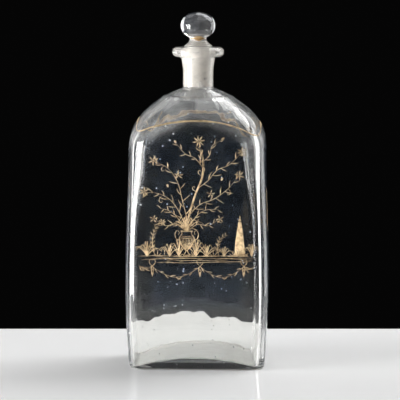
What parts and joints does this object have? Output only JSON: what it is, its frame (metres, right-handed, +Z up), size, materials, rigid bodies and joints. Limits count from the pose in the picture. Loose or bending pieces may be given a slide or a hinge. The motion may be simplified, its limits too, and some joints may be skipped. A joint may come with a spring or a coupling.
{
  "type": "glass flask with ball stopper",
  "caption": "Tall rectangular glass flask with domed shoulders, a short neck with a flat round lip, and a ground glass plug stopper with a ball top that lifts out.",
  "frame": {"origin": "centre of the base, on the surface that the flask stands on", "axes": "+Z up along the neck, X across the broad faces, +Y from the decorated front face towards the back"},
  "size_m": [0.1084, 0.0788, 0.2694],
  "materials": {
    "bottle_glass": "clear polished glass with a faint green-grey cast, ground inside the neck",
    "stopper_glass": "clear polished ball on a plug that is ground matt"
  },
  "bodies": {
    "bottle": {"bottle_body": "bottle_glass"},
    "stopper": {"stopper": "stopper_glass"}
  },
  "joints": [
    {"name": "stopper_lift", "type": "slide", "parent": "bottle", "child": "stopper", "axis": [0, 0, 1], "range_m": [0, 0.06]}
  ]
}
